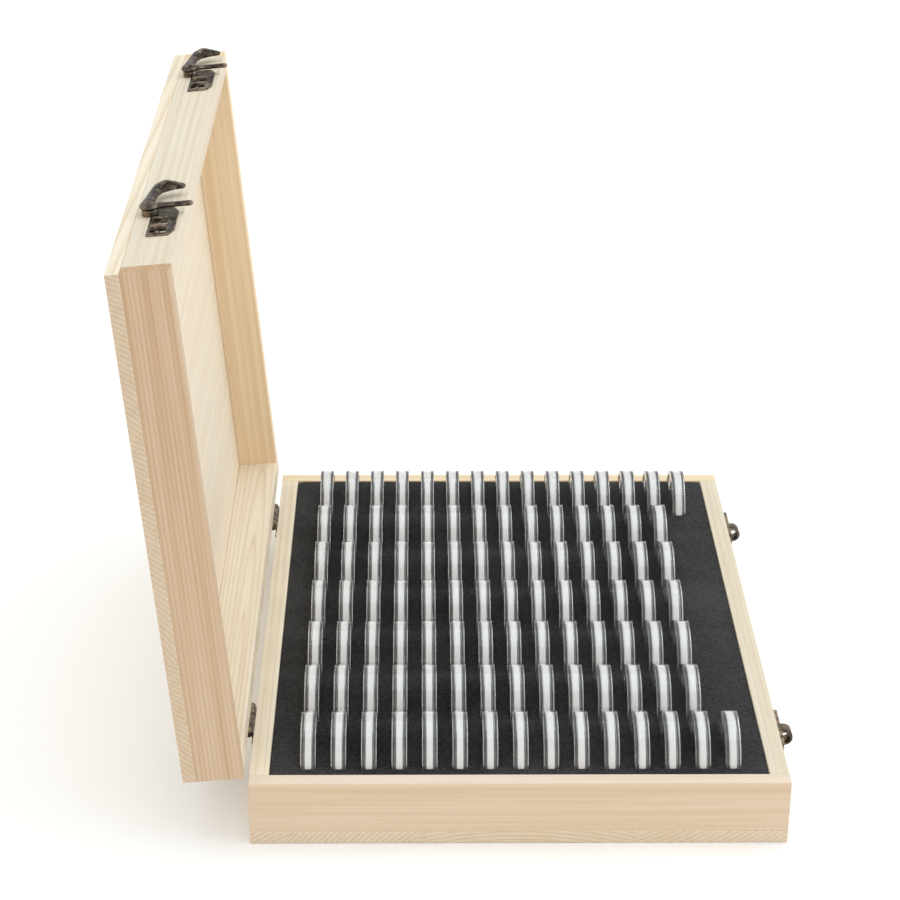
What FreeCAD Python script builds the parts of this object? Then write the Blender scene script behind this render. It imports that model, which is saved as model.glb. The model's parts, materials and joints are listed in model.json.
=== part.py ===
import FreeCAD, Part

import os
import re

import Sketcher

# Coin capsule case: a hinged wooden case, shown open, with a foam tray of round capsules on edge.
# The origin is the centre of the tray's underside: +X from hinges to latches, +Y to the back, +Z up.
# Millimetres throughout.

SIZES = {
    # Case
    "case_width": 300.0,
    "case_depth": 390.0,
    "tray_height": 39.0,
    "tray_floor": 7.5,
    "lid_height": 33.2,
    "lid_top": 7.5,
    "side_wall": 11.0,
    "end_wall": 9.5,
    "edge_round": 0.5,
    "lid_gap": 0.3,
    "lid_open": 95.2,
    # Foam insert
    "foam_gap": 0.25,
    "foam_recess": 0.8,
    "foam_corner": 4.5,
    "slot_width": 9.3,
    "slot_length": 49.8,
    "slot_depth": 29.7,
    # Capsules
    "first_column": 32.4,
    "column_pitch": 16.95,
    "long_row": 15.0,
    "short_row": 14.0,
    "row_count": 7.0,
    "first_row": 39.3,
    "row_pitch": 52.1,
    "capsule_radius": 24.5,
    "capsule_sink": 5.5,
    "capsule_width": 8.6,
    "window_radius": 21.0,
    "window_recess": 0.5,
    "face_thick": 1.8,
    "outer_wall": 0.7,
    "wall_fit": 0.06,
    "ring_width": 4.7,
    "ring_bore": 17.5,
    "ring_fit": 0.1,
    # Hinges
    "hinge_inset": 66.0,
    "hinge_length": 30.0,
    "knuckle_count": 5.0,
    "knuckle_gap": 0.3,
    "axis_out": 2.8,
    "axis_up": 0.74,
    "barrel_radius": 2.6,
    "pin_radius": 1.1,
    "pin_fit": 0.05,
    "pin_recess": 1.2,
    "leaf_thick": 0.85,
    "leaf_off": 0.05,
    "leaf_height": 14.0,
    "leaf_clear": 2.1,
    "tab_overlap": 0.3,
    "tab_start": 0.2,
    "screw_spacing": 10.0,
    "screw_row": 9.0,
    # Nails and screws
    "head_radius": 1.5,
    "head_height": 0.7,
    "shank_radius": 0.7,
    "shank_length": 8.0,
    "hole_fit": 0.1,
    # Keepers and latches
    "latch_inset": 65.0,
    "latch_inset_back": 70.0,
    "keeper_length": 34.0,
    "keeper_width": 14.0,
    "keeper_top": 1.6,
    "keeper_thick": 2.3,
    "keeper_shift": 2.0,
    "plate_thick": 1.0,
    "loop_width": 8.0,
    "loop_radius": 4.8,
    "loop_wall": 1.5,
    "loop_out": 4.9,
    "loop_down": 9.5,
    "loop_sweep": 310.0,
    "loop_side": 1.0,
    "keeper_nail": 13.0,
    "drill_past": 1.0,
    "latch_front": 14.5,
    "latch_back": 31.5,
    "latch_low": 2.8,
    "latch_high": 17.2,
    "latch_bevel": 7.0,
    "latch_slant": 3.0,
    "rib_height": 1.2,
    "rib_length": 2.6,
    "window_long": 8.5,
    "window_wide": 4.0,
    "window_step": 12.5,
    "window_nail": 1.2,
    "window_shift": 1.0,
    "pivot_back": 20.0,
    "pivot_up": 18.1,
    "boss_radius": 4.4,
    "boss_height": 2.4,
    "hook_lift": 3.5,
    "hook_thick": 2.4,
    "hook_blob": 5.4,
    "hook_reach": 32.3,
    "lever_reach": 22.0,
    "lever_width": 3.4,
    "lever_slot": 1.4,
    "rivet_radius": 1.4,
    "rivet_head": 2.2,
    "rivet_dome": 0.8,
    "rivet_play": 0.3,
    "outline_shift": 50.0,
}

NAMES = re.compile(r"\b(" + "|".join(sorted(SIZES, key=len, reverse=True)) + r")\b")
ORIGIN_POINT = -1
UP, BACK, RIGHT = FreeCAD.Vector(0, 0, 1), FreeCAD.Vector(0, 1, 0), FreeCAD.Vector(1, 0, 0)
LID_TURN_AXIS = FreeCAD.Vector(0, -1, 0)

doc = FreeCAD.newDocument("coin_capsule_case")
sheet = doc.addObject("Spreadsheet::Sheet", "sizes")
for line, (alias, value) in enumerate(SIZES.items(), start=1):
    sheet.set(f"A{line}", alias)
    sheet.set(f"B{line}", str(value))
    sheet.setAlias(f"B{line}", alias)
doc.recompute()

pieces = []

# The hook's arm and horn, seen from outside: corners as (back, up) from the pivot, in shares of the
# hook's reach. The horn narrows to a tip that curves round the pivot.
HOOK_OUTLINE = (
    (-0.046, 0.161),
    (0.372, 0.093),
    (0.743, 0.006),
    (0.975, -0.093),
    (1.012, -0.217),
    (0.966, -0.378),
    (0.901, -0.511),
    (0.841, -0.470),
    (0.884, -0.348),
    (0.783, -0.240),
    (0.619, -0.155),
    (0.310, -0.105),
    (0.093, -0.142),
)


def cell(text):
    """Turns a formula in plain aliases into one that reads the sheet."""
    return NAMES.sub(r"sizes.\1", str(text))


def bind(item, prop, text):
    item.setExpression(prop, cell(text))


def place(item, x="0", y="0", z="0"):
    """Binds where an item stands in its own frame."""
    for axis, text in zip("xyz", (x, y, z)):
        bind(item, f".Placement.Base.{axis}", text)
    return item


def keep(item, label):
    """Marks an item as a sub-part that is written out under this name."""
    item.Label = label
    pieces.append(item)
    return item


def on_tray(item, label, x, y, z):
    """Places a finished piece from the tray's front corner on the hinge side, at floor level."""
    place(item, f"-case_width/2 + ({x})", f"-case_depth/2 + ({y})", z)
    return keep(item, label)


def on_lid(item, label, x, y, z):
    """Places a finished piece from the lid's front rim corner, in the closed lid's own frame.

    The whole lid stands turned about the hinge axis, past upright.
    """
    item.Placement = FreeCAD.Placement(FreeCAD.Vector(), FreeCAD.Rotation(LID_TURN_AXIS, 1))
    bind(item, ".Placement.Rotation.Angle", "lid_open")
    out, up = f"(axis_out + ({x}))", f"(lid_gap - axis_up + ({z}))"
    place(
        item,
        f"-case_width/2 - axis_out + {out} * cos(lid_open) - {up} * sin(lid_open)",
        f"-case_depth/2 + ({y})",
        f"tray_height + axis_up + {out} * sin(lid_open) + {up} * cos(lid_open)",
    )
    return keep(item, label)


# Part primitives


def box(length, width, height, x="0", y="0", z="0"):
    item = doc.addObject("Part::Box", "block")
    for prop, text in (("Length", length), ("Width", width), ("Height", height)):
        bind(item, prop, text)
    return place(item, x, y, z)


def cylinder(radius, height, x="0", y="0", z="0", axis=UP, sweep=None, start=0.0):
    """A cylinder, or a sector of one that starts at an angle about its own axis."""
    item = doc.addObject("Part::Cylinder", "round")
    turn = FreeCAD.Rotation(UP, axis) * FreeCAD.Rotation(UP, start)
    item.Placement = FreeCAD.Placement(FreeCAD.Vector(), turn)
    bind(item, "Radius", radius)
    bind(item, "Height", height)
    if sweep:
        bind(item, "Angle", sweep)
    return place(item, x, y, z)


def fuse(*items):
    item = doc.addObject("Part::MultiFuse", "joined")
    item.Shapes = list(items)
    item.Refine = True
    return item


def cut(base, *tools):
    item = doc.addObject("Part::Cut", "trimmed")
    item.Base = base
    item.Tool = tools[0] if len(tools) == 1 else fuse(*tools)
    return item


# PartDesign bodies


def new_body(compound=False):
    body = doc.addObject("PartDesign::Body", "body")
    body.AllowCompound = compound
    return body


def sketch_on(body, role="XY_Plane"):
    sketch = body.newObject("Sketcher::SketchObject", "sketch")
    plane = next(f for f in body.Origin.OriginFeatures if f.Role == role)
    sketch.AttachmentSupport = [(plane, "")]
    sketch.MapMode = "FlatFace"
    return sketch


def outline(sketch, points, flat=0.0):
    """Draws a closed outline whose corners' distances from the origin are bound to the sheet."""
    first = sketch.GeometryCount
    spots = [
        FreeCAD.Vector(SIZES.get(x, 10.0 + n), SIZES.get(y, 10.0 + n * n), flat)
        for n, (x, y) in enumerate(points)
    ]
    for n, spot in enumerate(spots):
        sketch.addGeometry(Part.LineSegment(spot, spots[(n + 1) % len(spots)]), False)
    for n, (x, y) in enumerate(points):
        line, after = first + n, first + (n + 1) % len(points)
        sketch.addConstraint(Sketcher.Constraint("Coincident", line, 2, after, 1))
        for kind, text in (("DistanceX", x), ("DistanceY", y)):
            spot = getattr(spots[n], kind[-1].lower())
            made = sketch.addConstraint(Sketcher.Constraint(kind, ORIGIN_POINT, 1, line, 1, spot))
            bind(sketch, f"Constraints[{made}]", text)
    doc.recompute()
    return sketch


def rectangle(sketch, left, low, right, high):
    return outline(sketch, [(left, low), (right, low), (right, high), (left, high)])


def pad(body, sketch, length):
    feature = body.newObject("PartDesign::Pad", "pad")
    feature.Profile = (sketch, [""])
    bind(feature, "Length", length)
    return feature


def pocket(body, sketch, length):
    """Cuts a sketch into the body from the sketch's plane, upwards."""
    feature = body.newObject("PartDesign::Pocket", "pocket")
    feature.Profile = (sketch, [""])
    feature.Reversed = True
    bind(feature, "Length", length)
    return feature


def revolve(body, sketch, axis="H_Axis"):
    feature = body.newObject("PartDesign::Revolution", "turned")
    feature.Profile = (sketch, [""])
    feature.ReferenceAxis = (sketch, [axis])
    feature.Angle = 360
    return feature


def repeat(body, feature, sketch, first, second=None):
    """Repeats a feature along one or two of the sketch's axes, each (axis, spacing, count)."""
    pattern = body.newObject("PartDesign::LinearPattern", "pattern")
    pattern.Originals = [feature]
    for suffix, rule in (("", first), ("2", second)):
        if rule is None:
            continue
        axis, spacing, count = rule
        setattr(pattern, "Direction" + suffix, (sketch, [axis]))
        bind(pattern, "Length" + suffix, f"({spacing}) * (({count}) - 1)")
        bind(pattern, "Occurrences" + suffix, count)
    body.Tip = pattern
    return pattern


def round_edges(body, feature, radius, edges=None):
    """Rounds all edges of a feature, or only those listed."""
    rounding = body.newObject("PartDesign::Fillet", "rounding")
    rounding.Base = (feature, edges or [""])
    rounding.UseAllEdges = edges is None
    bind(rounding, "Radius", radius)
    return rounding


# Wooden boards


def board(length, width, height):
    """A plank with softened edges, its low corner one outline shift from its own origin."""
    body = new_body()
    low = "outline_shift"
    sketch = rectangle(sketch_on(body), low, low, f"{low} + {length}", f"{low} + {width}")
    feature = pad(body, sketch, height)
    doc.recompute()
    round_edges(body, feature, "edge_round")
    return body


def shifted(text):
    return f"({text}) - outline_shift"


def build_frame(prefix, put, low, height):
    """Makes the four walls of the tray or of the lid and stands them on the level given."""
    inner = "case_depth - 2*end_wall"
    walls = (
        ("front_board", "case_width", "end_wall", "0", "0"),
        ("back_board", "case_width", "end_wall", "0", "case_depth - end_wall"),
        ("hinge_side_board", "side_wall", inner, "0", "end_wall"),
        ("latch_side_board", "side_wall", inner, "case_width - side_wall", "end_wall"),
    )
    for name, length, width, x, y in walls:
        put(board(length, width, height), f"{prefix}_{name}", shifted(x), shifted(y), low)


def build_case():
    build_frame("tray", on_tray, "tray_floor", "tray_height - tray_floor")
    build_frame("lid", on_lid, "0", "lid_height - lid_top")
    corner = shifted("0")
    floor = board("case_width", "case_depth", "tray_floor")
    on_tray(floor, "tray_bottom_panel", corner, corner, "0")
    top = board("case_width", "case_depth", "lid_top")
    on_lid(top, "lid_panel", corner, corner, "lid_height - lid_top")


# Foam insert


def back_corner_edges(shape):
    """Names the two upright edges at the back of a block."""
    far = shape.BoundBox.YMax
    names = []
    for number, edge in enumerate(shape.Edges, start=1):
        upright = edge.BoundBox.ZLength > edge.BoundBox.XLength + edge.BoundBox.YLength
        if upright and abs(edge.BoundBox.YMin - far) < 0.01:
            names.append(f"Edge{number}")
    return names


def slot_outline(sketch, column, row):
    """Draws one capsule's slot, seen from above, with the foam's low corner at the outline shift."""
    middle_x = f"outline_shift + {column} - side_wall - foam_gap"
    middle_y = f"outline_shift + {row} - end_wall - foam_gap"
    return rectangle(
        sketch,
        f"{middle_x} - slot_width/2",
        f"{middle_y} - slot_length/2",
        f"{middle_x} + slot_width/2",
        f"{middle_y} + slot_length/2",
    )


def build_foam():
    """One block with a slot for every capsule, open at its top."""
    body = new_body()
    deep = "(tray_height - tray_floor - foam_recess)"
    edge = "outline_shift"
    inner_x = "case_width - 2*side_wall - 2*foam_gap"
    inner_y = "case_depth - 2*end_wall - 2*foam_gap"
    base = rectangle(sketch_on(body), edge, edge, f"{edge} + {inner_x}", f"{edge} + {inner_y}")
    block = pad(body, base, deep)
    doc.recompute()
    rounded = round_edges(body, block, "foam_corner", back_corner_edges(block.Shape))
    doc.recompute()
    solid_volume = rounded.Shape.Volume
    last_column = "first_column + short_row*column_pitch"
    for column, along, across in (
        ("first_column", ("H_Axis", "column_pitch", "short_row"), ("V_Axis", "row_pitch", "row_count")),
        (last_column, ("V_Axis", "row_pitch * (row_count - 1)", "2"), None),
    ):
        sketch = sketch_on(body)
        bind(sketch, ".AttachmentOffset.Base.z", f"{deep} - slot_depth")
        slot_outline(sketch, column, "first_row")
        hole = pocket(body, sketch, "slot_depth")
        repeat(body, hole, sketch, along, across)
        doc.recompute()
    slot = SIZES["slot_width"] * SIZES["slot_length"] * SIZES["slot_depth"]
    slots = round((solid_volume - body.Shape.Volume) / slot)
    if slots != 100:
        raise RuntimeError(f"the foam has {slots} slots")
    on_tray(
        body,
        "foam_insert",
        shifted("side_wall + foam_gap"),
        shifted("end_wall + foam_gap"),
        "tray_floor",
    )


# Capsules: each profile is drawn with the capsule's middle at the outline shift


def along(offset):
    return f"outline_shift + ({offset})"


def base_profile():
    """A face with a recessed window and the outer of two nested walls."""
    face, wall = "-capsule_width/2", "capsule_radius - outer_wall"
    inside = f"{face} + face_thick"
    return [
        (along(f"{face} + window_recess"), "0.001"),
        (along(f"{face} + window_recess"), "window_radius"),
        (along(face), "window_radius"),
        (along(face), "capsule_radius"),
        (along("ring_width/2"), "capsule_radius"),
        (along("ring_width/2"), wall),
        (along(inside), wall),
        (along(inside), "0.001"),
    ]


def cover_profile():
    """A face with a recessed window and the inner of two nested walls."""
    face = "capsule_width/2"
    outside = "capsule_radius - outer_wall - wall_fit"
    inside = f"{outside} - outer_wall"
    seat = f"{face} - face_thick"
    return [
        (along(f"{face} - window_recess"), "0.001"),
        (along(seat), "0.001"),
        (along(seat), inside),
        (along("-ring_width/2"), inside),
        (along("-ring_width/2"), outside),
        (along("ring_width/2 + wall_fit"), outside),
        (along("ring_width/2 + wall_fit"), "capsule_radius"),
        (along(face), "capsule_radius"),
        (along(face), "window_radius"),
        (along(f"{face} - window_recess"), "window_radius"),
    ]


def ring_profile():
    """The soft ring that centres a coin between the two faces."""
    half = "(ring_width/2 - ring_fit)"
    outside = "capsule_radius - 2*outer_wall - wall_fit - ring_fit"
    return [
        (along(f"-{half}"), "ring_bore"),
        (along(half), "ring_bore"),
        (along(half), outside),
        (along(f"-{half}"), outside),
    ]


def capsule_group(profile, count, label, row):
    """Turns one profile and repeats it along its row."""
    body = new_body(compound=True)
    sketch = outline(sketch_on(body), profile)
    turned = revolve(body, sketch)
    doc.recompute()
    repeat(body, turned, sketch, ("H_Axis", "column_pitch", count))
    on_tray(
        body,
        label,
        shifted("first_column"),
        f"first_row + {row - 1} * row_pitch",
        "tray_height - capsule_sink",
    )


def build_capsules():
    last = int(SIZES["row_count"])
    for row in range(1, last + 1):
        count = "long_row" if row in (1, last) else "short_row"
        capsule_group(base_profile(), count, f"capsule_bases_row_{row}", row)
        capsule_group(cover_profile(), count, f"capsule_covers_row_{row}", row)
        capsule_group(ring_profile(), count, f"gasket_rings_row_{row}", row)


# Nails and screws: turned about X, the underside of the head at the outline shift, the point towards -X


def fastener_group(rows, columns, spacing, span):
    """A set of domed fasteners, evenly spaced along Y in groups that are repeated along Y."""
    body = new_body(compound=True)
    sketch = sketch_on(body)
    outline(
        sketch,
        [
            (along("-shank_length"), "0.001"),
            (along("-shank_length + shank_radius"), "shank_radius"),
            (along("0"), "shank_radius"),
            (along("0"), "head_radius"),
            (along("head_height*0.4"), "head_radius"),
            (along("head_height"), "head_radius*0.55"),
            (along("head_height"), "0.001"),
        ],
    )
    turned = revolve(body, sketch)
    doc.recompute()
    repeat(body, turned, sketch, ("V_Axis", spacing, rows), ("V_Axis", span, columns))
    return body


# Hinges, drawn about the hinge axis: x outwards from the wall's face is negative, z up


def knuckles(mine):
    """The barrel sections of one leaf: every second one, from the first or from the second."""
    step = "(hinge_length / knuckle_count)"
    rounds = []
    for number in range(int(SIZES["knuckle_count"])):
        if (number % 2 == 0) == mine:
            low = f"{number} * {step} + knuckle_gap/2"
            rounds.append((low, f"{step} - knuckle_gap"))
    return rounds


def hinge_leaf(mine, up):
    """A leaf: a plate on the wall's face, tabs to its own knuckles, and the knuckles, bored for the pin.

    up is 1 for the leaf above the axis, on the lid, and -1 for the one below it, on the tray.
    """
    face = "axis_out - leaf_off - leaf_thick"
    tall = "(leaf_height - leaf_clear)"
    low = "leaf_clear" if up > 0 else "-leaf_height"
    parts = [box("leaf_thick", "hinge_length", tall, face, "0", low)]
    for start, width in knuckles(mine):
        tab_low = "tab_start" if up > 0 else "-leaf_clear - tab_overlap - tab_start"
        parts.append(box("leaf_thick", width, "leaf_clear + tab_overlap", face, start, tab_low))
        parts.append(cylinder("barrel_radius", width, "0", start, "0", BACK))
    bore = cylinder("pin_radius + pin_fit", "hinge_length + 2*drill_past", "0", "-drill_past", "0", BACK)
    holes = []
    for number in (-1, 0, 1):
        middle = f"hinge_length/2 + {number} * screw_spacing"
        height = "screw_row" if up > 0 else "-screw_row"
        radius = "shank_radius + hole_fit"
        deep = "leaf_thick + 2*drill_past"
        holes.append(cylinder(radius, deep, f"{face} - drill_past", middle, height, RIGHT))
    return cut(fuse(*parts), bore, *holes)


def build_hinges():
    axis_z = "tray_height + axis_up"
    for name, front in (("front", "hinge_inset - hinge_length/2"),
                        ("back", "case_depth - hinge_inset - hinge_length/2")):
        on_tray(hinge_leaf(True, -1), f"{name}_hinge_tray_leaf", "-axis_out", front, axis_z)
        on_lid(hinge_leaf(False, 1), f"{name}_hinge_lid_leaf", "-axis_out", front, "axis_up - lid_gap")
        pin = cylinder("pin_radius", "hinge_length - 2*pin_recess", axis=BACK)
        on_tray(pin, f"{name}_hinge_pin", "-axis_out", f"{front} + pin_recess", axis_z)
    span = "case_depth - 2*hinge_inset"
    first = "hinge_inset - screw_spacing"
    for prefix, put, z in (("tray", on_tray, "tray_height + axis_up - screw_row"),
                           ("lid", on_lid, "axis_up - lid_gap + screw_row")):
        screws = mirrored(fastener_group("3", "2", "screw_spacing", span))
        put(screws, f"{prefix}_hinge_screws", "-leaf_off - leaf_thick", first, z)


def mirrored(body):
    """Turns fasteners round to point towards +X, and brings their heads to their own origin."""
    item = doc.addObject("Part::Mirroring", "turned_round")
    item.Source = body
    item.Normal = RIGHT
    bind(body, ".Placement.Base.x", "-outline_shift")
    return item


def straight(body):
    """Brings fasteners' heads to their own origin, with their points towards -X."""
    item = doc.addObject("Part::Compound", "set")
    item.Links = [body]
    bind(body, ".Placement.Base.x", "-outline_shift")
    return item


# Keepers, on the tray's latch side: x out from the wall, z from the rim


def keeper():
    """A nailed plate with a strip at its middle that curls out and back into an open loop."""
    plate = box("keeper_thick", "keeper_length", "keeper_width", "0", "-keeper_length/2 - keeper_shift",
                "-keeper_top - keeper_width")
    side = "-loop_width/2 + loop_side"
    band = box("loop_out", "loop_width", "loop_wall", "0", side, "-loop_down + loop_radius - loop_wall")
    curl = cut(
        cylinder("loop_radius", "loop_width", "loop_out", side, "-loop_down", BACK, "loop_sweep", 180.0),
        cylinder("loop_radius - loop_wall", "loop_width + 2*drill_past", "loop_out", f"{side} - drill_past",
                 "-loop_down", BACK),
    )
    holes = [
        cylinder("shank_radius + hole_fit", "keeper_thick + 2*drill_past", "-drill_past",
                 f"{sign} * keeper_nail - keeper_shift", "-keeper_top - keeper_width/2", RIGHT)
        for sign in (-1, 1)
    ]
    return cut(fuse(plate, band, curl), *holes)


# Latches, on the lid's latch side: x out from the wall, y from the keeper's middle, z from the rim


def latch_plate():
    """A shield-shaped plate with raised ribs, two windows and a round boss for the hook's pivot."""
    body = new_body()
    left, right = along("-latch_front"), along("latch_back - boss_radius")
    sketch = outline(
        sketch_on(body, "YZ_Plane"),
        [
            (left, along("latch_low + latch_slant")),
            (along("-latch_front + latch_bevel"), along("latch_low")),
            (along("latch_back - boss_radius - latch_bevel"), along("latch_low")),
            (right, along("latch_low + latch_slant")),
            (right, along("latch_high")),
            (left, along("latch_high")),
        ],
    )
    pad(body, sketch, "plate_thick")
    doc.recompute()
    place(body, "0", "-outline_shift", "-outline_shift")
    boss = cylinder("boss_radius", "plate_thick + boss_height", "0", "pivot_back", "pivot_up", RIGHT)
    wide = "latch_high - latch_low - 2*latch_slant"
    middle = "(latch_low + latch_slant + latch_high)/2"
    ribs, windows = [], []
    for number in range(2):
        rib = f"-latch_front + window_step*{number + 1} - rib_length/2 - window_shift"
        ribs.append(box("plate_thick + rib_height", "rib_length", wide, "0", rib, f"{middle} - ({wide})/2"))
        window = f"-latch_front + window_step*({number} + 0.5) - window_wide/2 - window_shift"
        windows.append(box("plate_thick + 2*drill_past", "window_wide", "window_long", "-drill_past", window,
                           f"{middle} - window_long/2"))
    through = "plate_thick + boss_height + 2*drill_past"
    bore = cylinder("rivet_radius + hole_fit", through, "-drill_past", "pivot_back", "pivot_up", RIGHT)
    windows.append(bore)
    return cut(fuse(body, boss, *ribs), *windows)


def hook():
    """A cast hook: a round hub, an arm with a horn that runs round the pivot, and a finger lever."""
    thick = "hook_thick"
    through, low = f"{thick} + 2*drill_past", "-drill_past"
    hub = cylinder("hook_blob", thick, axis=RIGHT)
    horn = new_body()
    corners = [(along(f"hook_reach * {back}"), along(f"hook_reach * {up}")) for back, up in HOOK_OUTLINE]
    pad(horn, outline(sketch_on(horn, "YZ_Plane"), corners), thick)
    doc.recompute()
    place(horn, "0", "-outline_shift", "-outline_shift")
    lever = box(thick, "lever_width", "lever_reach", "0", "-lever_width/2", "-lever_reach")
    tip = cylinder("lever_width/2", thick, "0", "0", "-lever_reach", RIGHT)
    slot = box(through, "lever_slot", "lever_width", low, "-lever_slot/2", "-lever_reach")
    bore = cylinder("rivet_radius + pin_fit", through, low, axis=RIGHT)
    return cut(fuse(hub, horn, lever, tip), bore, slot)


def rivet():
    """A rivet through the plate's boss and the hook, with a domed head outside."""
    length = "hook_lift + hook_thick + rivet_play"
    shank = cylinder("rivet_radius", length, axis=RIGHT)
    head = cylinder("rivet_head", "rivet_dome", length, axis=RIGHT)
    return fuse(shank, head)


def build_latches():
    for name, middle in (("front", "latch_inset"), ("back", "case_depth - latch_inset_back")):
        on_tray(keeper(), f"{name}_keeper", "case_width", middle, "tray_height")
        on_lid(latch_plate(), f"{name}_latch_plate", "case_width", middle, "0")
        pivot_y = f"{middle} + pivot_back"
        on_lid(hook(), f"{name}_hook", "case_width + hook_lift", pivot_y, "pivot_up")
        on_lid(rivet(), f"{name}_latch_rivet", "case_width", pivot_y, "pivot_up")
    span = "case_depth - latch_inset - latch_inset_back"
    keeper_nails = straight(fastener_group("2", "2", "2*keeper_nail", span))
    on_tray(keeper_nails, "keeper_nails", "case_width + keeper_thick",
            "latch_inset - keeper_shift - keeper_nail", "tray_height - keeper_top - keeper_width/2")
    plate_nails = straight(fastener_group("2", "2", "window_step", span))
    on_lid(plate_nails, "latch_plate_nails", "case_width + window_nail - plate_thick",
           "latch_inset - latch_front + window_step/2 - window_shift",
           "(latch_low + latch_slant + latch_high)/2")


def check_document():
    """Stops on any object that failed to build."""
    for item in doc.Objects:
        bad = [word for word in item.State if word in ("Invalid", "Error")]
        if bad:
            raise RuntimeError(f"{item.Name} ({item.Label}) is {bad}")
    for piece in pieces:
        if piece.Shape.isNull() or not piece.Shape.isValid() or not piece.Shape.Solids:
            raise RuntimeError(f"{piece.Label} has no sound shape")


def main():
    build_case()
    build_foam()
    build_capsules()
    build_hinges()
    build_latches()
    doc.recompute()
    check_document()
    os.makedirs("parts", exist_ok=True)
    for piece in pieces:
        piece.Shape.exportStep(f"parts/{piece.Label}.step")
        box_of = piece.Shape.BoundBox
        print(f"{piece.Label}: {len(piece.Shape.Solids)} solids, {piece.Shape.Volume:.0f} mm3, "
              f"x {box_of.XMin:.1f}..{box_of.XMax:.1f} y {box_of.YMin:.1f}..{box_of.YMax:.1f} "
              f"z {box_of.ZMin:.1f}..{box_of.ZMax:.1f}")


main()
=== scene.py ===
"""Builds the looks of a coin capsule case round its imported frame.

The case stands on its flat underside with the lid open: +X runs from the hinges to the latches, +Y to the
back and +Z up, in metres. Pieces on the lid are shaped as if the lid were shut, then turned open with it.
"""

import json
import logging
import math
from dataclasses import dataclass, field
from enum import Enum
from typing import Iterable, Optional

import bmesh
import bpy
from mathutils import Matrix, Vector


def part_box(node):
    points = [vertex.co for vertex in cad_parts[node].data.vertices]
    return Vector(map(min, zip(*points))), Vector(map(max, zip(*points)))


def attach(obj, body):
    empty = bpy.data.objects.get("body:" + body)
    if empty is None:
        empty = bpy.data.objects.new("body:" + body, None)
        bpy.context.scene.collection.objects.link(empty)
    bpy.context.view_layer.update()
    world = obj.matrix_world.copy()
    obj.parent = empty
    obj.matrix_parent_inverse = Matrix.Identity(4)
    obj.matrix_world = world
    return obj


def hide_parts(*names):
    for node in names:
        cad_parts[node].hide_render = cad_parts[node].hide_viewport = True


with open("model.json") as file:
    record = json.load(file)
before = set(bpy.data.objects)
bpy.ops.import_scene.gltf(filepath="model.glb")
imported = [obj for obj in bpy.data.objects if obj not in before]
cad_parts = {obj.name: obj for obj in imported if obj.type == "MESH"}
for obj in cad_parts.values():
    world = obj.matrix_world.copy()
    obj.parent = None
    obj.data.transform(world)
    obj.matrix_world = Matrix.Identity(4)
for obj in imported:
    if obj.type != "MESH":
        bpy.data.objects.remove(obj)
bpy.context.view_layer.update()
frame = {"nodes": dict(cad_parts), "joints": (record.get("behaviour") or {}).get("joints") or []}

log = logging.getLogger("coin_capsule_case")

Colour = tuple[float, float, float]
Outline = list[tuple[float, float]]
Chain = tuple[tuple[float, ...], ...]
Socket = bpy.types.NodeSocket

MM = 0.001
JOIN = 1e-6
WELD = 1e-5
FLAT = math.radians(1.0)
CAPSULES_IN_ROWS = (15, 14, 14, 14, 14, 14, 15)


# ---------------------------------------------------------------- places


def joint_named(name: str) -> dict:
    """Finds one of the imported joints.

    Args:
        name: The joint's name in the record.

    Returns:
        The joint as the record gives it.
    """
    return next(joint for joint in frame["joints"] if joint["name"] == name)


def lid_opening() -> Matrix:
    """Works out how the lid's pieces move from shut to open.

    Returns:
        The turn about the hinge axis, as a 4x4 matrix.
    """
    hinge = joint_named("lid_hinge")
    pivot = Matrix.Translation(Vector(hinge["pos_m"]))
    turn = Matrix.Rotation(-math.radians(hinge["range_deg"][0]), 4, Vector(hinge["axis"]))
    return pivot @ turn @ pivot.inverted()


OPEN_LID = lid_opening()
SHUT_LID = OPEN_LID.inverted()


class Axis(Enum):
    """A direction of the case, used for the run of the wood's grain."""

    X = 0
    Y = 1
    Z = 2

    @property
    def vector(self) -> Vector:
        """The unit vector of the direction."""
        return Vector([1.0 if n == self.value else 0.0 for n in range(3)])

    def scales(self, along: float, across: float) -> tuple[float, float, float]:
        """Gives one scale along this direction and another across it."""
        return tuple(along if n == self.value else across for n in range(3))


# ---------------------------------------------------------------- materials


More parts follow.
